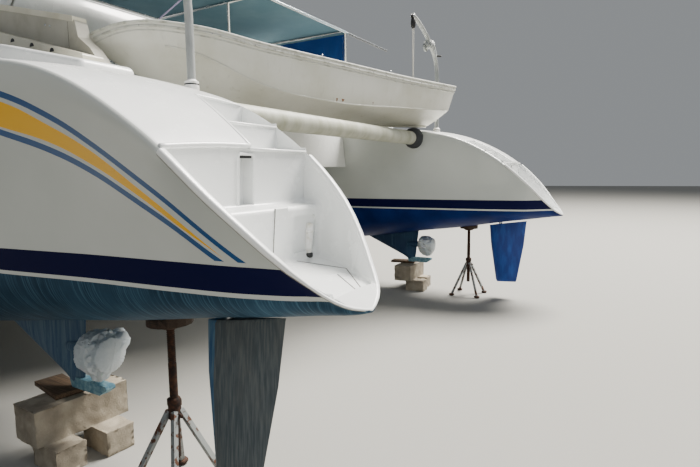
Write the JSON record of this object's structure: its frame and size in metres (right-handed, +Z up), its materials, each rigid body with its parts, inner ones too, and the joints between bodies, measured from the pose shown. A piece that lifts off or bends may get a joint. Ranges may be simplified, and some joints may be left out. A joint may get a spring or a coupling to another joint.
{
  "type": "cruising sailing catamaran, 12.2 m, laid up ashore",
  "caption": "Sailing catamaran ashore on keel timbers, concrete sleepers and jack stands, with stern steps, saloon, awning, mast, boom and a tender on davits.",
  "frame": {"origin": "on the ground, midway between stern tips and bows, on the boat's centreline", "axes": "+X to the bows, +Y to port, +Z up"},
  "size_m": [12.2003, 6.792, 16.835],
  "materials": {
    "gelcoat": "gloss",
    "deck_gelcoat": "gloss",
    "antifouling": "matt worn paint",
    "blue_antifouling": "matt paint",
    "bronze": "dull",
    "plastic_bag": "satin film",
    "timber": "weathered",
    "concrete": "rough",
    "rusty_steel": "rusty",
    "stainless": "polished",
    "smoked_acrylic": "smoked",
    "alloy": "anodised",
    "upholstery": "woven",
    "canvas": "acrylic canvas",
    "netting": "knotted net",
    "tender_gelcoat": "weathered"
  },
  "bodies": {
    "boat": {"port_hull": "gelcoat", "port_keel": "antifouling", "port_skeg": "antifouling", "port_propeller_bag": "plastic_bag", "port_keel_timber": "timber", "port_sleeper": "concrete", "port_packing": "timber", "port_aft_stand": "rusty_steel", "port_forward_stand": "rusty_steel", "port_coaming": "deck_gelcoat", "port_deck_box": "deck_gelcoat", "port_shroud": "stainless", "port_guard_rail": "stainless", "port_davit": "alloy", "starboard_hull": "gelcoat", "starboard_keel": "antifouling", "starboard_skeg": "antifouling", "starboard_propeller_bag": "plastic_bag", "starboard_keel_timber": "timber", "starboard_sleeper": "concrete", "starboard_packing": "timber", "starboard_aft_stand": "rusty_steel", "starboard_forward_stand": "rusty_steel", "starboard_coaming": "deck_gelcoat", "starboard_deck_box": "deck_gelcoat", "starboard_shroud": "stainless", "starboard_guard_rail": "stainless", "starboard_davit": "alloy", "bridgedeck": "gelcoat", "coachroof": "deck_gelcoat", "saloon_bulkhead": "deck_gelcoat", "saloon_glazing": "smoked_acrylic", "settee": "upholstery", "saloon_table": "timber", "cockpit_seats": "deck_gelcoat", "helm_housing": "deck_gelcoat", "awning": "canvas", "awning_frame": "stainless", "side_curtain": "canvas", "mast": "alloy", "furled_headsail": "canvas", "forward_beam": "alloy", "trampoline": "netting", "aft_beam": "gelcoat", "tender": "tender_gelcoat", "tender_cover": "canvas"},
    "port_rudder": {"port_rudder": "antifouling"},
    "starboard_rudder": {"starboard_rudder": "blue_antifouling"},
    "port_propeller": {"port_propeller": "bronze"},
    "starboard_propeller": {"starboard_propeller": "bronze"},
    "helm_wheel": {"helm_wheel": "stainless"},
    "boom": {"boom": "alloy", "stowed_mainsail": "canvas"},
    "saloon_door": {"saloon_door": "deck_gelcoat"},
    "roof_hatch": {"roof_hatch": "smoked_acrylic"},
    "port_foredeck_hatch": {"port_foredeck_hatch": "smoked_acrylic"},
    "port_engine_hatch": {"port_engine_hatch": "deck_gelcoat"},
    "starboard_foredeck_hatch": {"starboard_foredeck_hatch": "smoked_acrylic"},
    "starboard_engine_hatch": {"starboard_engine_hatch": "deck_gelcoat"}
  },
  "joints": [
    {"name": "port_rudder_turn", "type": "hinge", "parent": "boat", "child": "port_rudder", "pos_m": [-5.33, 2.55, 0.935], "axis": [0, 0, 1], "range_deg": [-35, 35]},
    {"name": "port_propeller_spin", "type": "hinge", "parent": "boat", "child": "port_propeller", "pos_m": [-4.265, 2.55, 0.66], "axis": [1, 0, 0], "continuous": true},
    {"name": "port_foredeck_hatch_hinge", "type": "hinge", "parent": "boat", "child": "port_foredeck_hatch", "pos_m": [2.96, 2.55, 2.611], "axis": [0, 1, 0], "range_deg": [0, 80]},
    {"name": "port_engine_hatch_hinge", "type": "hinge", "parent": "boat", "child": "port_engine_hatch", "pos_m": [-2.49, 2.74, 2.45], "axis": [0, 1, 0], "range_deg": [0, 80]},
    {"name": "starboard_rudder_turn", "type": "hinge", "parent": "boat", "child": "starboard_rudder", "pos_m": [-5.33, -2.55, 0.935], "axis": [0, 0, 1], "range_deg": [-35, 35]},
    {"name": "starboard_propeller_spin", "type": "hinge", "parent": "boat", "child": "starboard_propeller", "pos_m": [-4.265, -2.55, 0.66], "axis": [1, 0, 0], "continuous": true},
    {"name": "starboard_foredeck_hatch_hinge", "type": "hinge", "parent": "boat", "child": "starboard_foredeck_hatch", "pos_m": [2.96, -2.55, 2.611], "axis": [0, 1, 0], "range_deg": [0, 80]},
    {"name": "starboard_engine_hatch_hinge", "type": "hinge", "parent": "boat", "child": "starboard_engine_hatch", "pos_m": [-2.49, -2.74, 2.45], "axis": [0, 1, 0], "range_deg": [0, 80]},
    {"name": "helm_turn", "type": "hinge", "parent": "boat", "child": "helm_wheel", "pos_m": [-1.77, 0.82, 2.795], "axis": [1, 0, 0], "range_deg": [-540, 540]},
    {"name": "boom_swing", "type": "hinge", "parent": "boat", "child": "boom", "pos_m": [0.1, 0, 4.685], "axis": [0, 0, 1], "range_deg": [-70, 70]},
    {"name": "saloon_door_slide", "type": "slide", "parent": "boat", "child": "saloon_door", "axis": [0, -1, 0], "range_m": [0, 0.6]},
    {"name": "roof_hatch_hinge", "type": "hinge", "parent": "boat", "child": "roof_hatch", "pos_m": [-0.54, 0, 3.7053], "axis": [0, 1, 0], "range_deg": [0, 80]}
  ],
  "couplings": [
    {"joint": "port_rudder_turn", "follows": "helm_turn", "ratio": 0.064815},
    {"joint": "starboard_rudder_turn", "follows": "helm_turn", "ratio": 0.064815}
  ]
}
